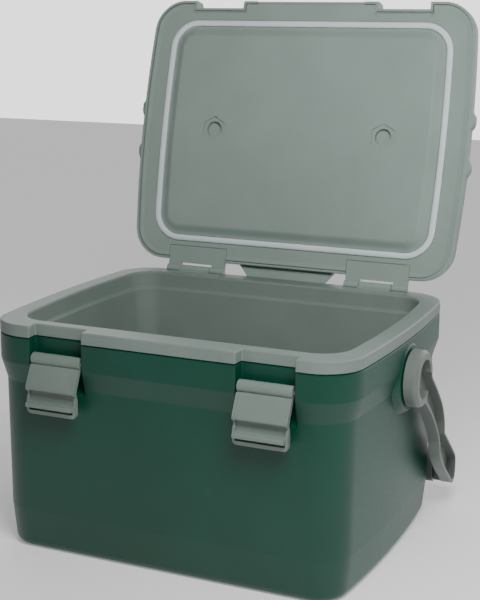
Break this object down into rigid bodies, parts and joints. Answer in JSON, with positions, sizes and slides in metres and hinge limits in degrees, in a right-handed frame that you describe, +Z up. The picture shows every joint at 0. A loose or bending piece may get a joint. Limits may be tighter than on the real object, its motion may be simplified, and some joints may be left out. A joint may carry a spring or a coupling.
{
  "type": "cooler chest",
  "caption": "Insulated cooler chest with a hinged lid standing open, a sealing gasket, two swing-up front latches and a bail carry handle hanging at the back.",
  "frame": {"origin": "centre of the flat base, on the floor", "axes": "-Z out of the base; +X to the right across the width; the latches are at -Y and the hinges at +Y; +Z up, the longest extent with the lid open"},
  "size_m": [0.4324, 0.4231, 0.5519],
  "materials": {
    "green_shell": "fine hammertone",
    "sage_plastic": "satin",
    "gasket": "satin",
    "foam": "matte",
    "steel_pin": "plain"
  },
  "bodies": {
    "body": {"outer_shell": "green_shell", "body_foam": "foam", "inner_liner": "sage_plastic", "hinge_body_leaf_left": "sage_plastic", "hinge_body_leaf_right": "sage_plastic", "latch_pin_left": "steel_pin", "latch_pin_right": "steel_pin", "handle_pivot_left": "sage_plastic", "handle_pivot_right": "sage_plastic"},
    "lid": {"lid_outer_shell": "sage_plastic", "lid_foam": "foam", "lid_inner_panel": "sage_plastic", "lid_gasket": "gasket", "hinge_lid_leaf_left": "sage_plastic", "hinge_lid_leaf_right": "sage_plastic", "hinge_pin_left": "steel_pin", "hinge_pin_right": "steel_pin"},
    "latch_left": {"latch_left": "sage_plastic"},
    "latch_right": {"latch_right": "sage_plastic"},
    "handle": {"handle_arm_left": "sage_plastic", "handle_arm_right": "sage_plastic", "handle_grip": "sage_plastic"}
  },
  "joints": [
    {"name": "lid_hinge", "type": "hinge", "parent": "body", "child": "lid", "pos_m": [0, 0.1572, 0.242], "axis": [1, 0, 0], "range_deg": [0, 103]},
    {"name": "latch_left_hinge", "type": "hinge", "parent": "body", "child": "latch_left", "pos_m": [-0.1122, -0.1554, 0.207], "axis": [-1, 0, 0], "range_deg": [0, 163.2]},
    {"name": "latch_right_hinge", "type": "hinge", "parent": "body", "child": "latch_right", "pos_m": [0.1122, -0.1554, 0.207], "axis": [-1, 0, 0], "range_deg": [0, 163.2]},
    {"name": "handle_pivot", "type": "hinge", "parent": "body", "child": "handle", "pos_m": [0, 0.0045, 0.1877], "axis": [1, 0, 0], "range_deg": [0, 58]}
  ]
}
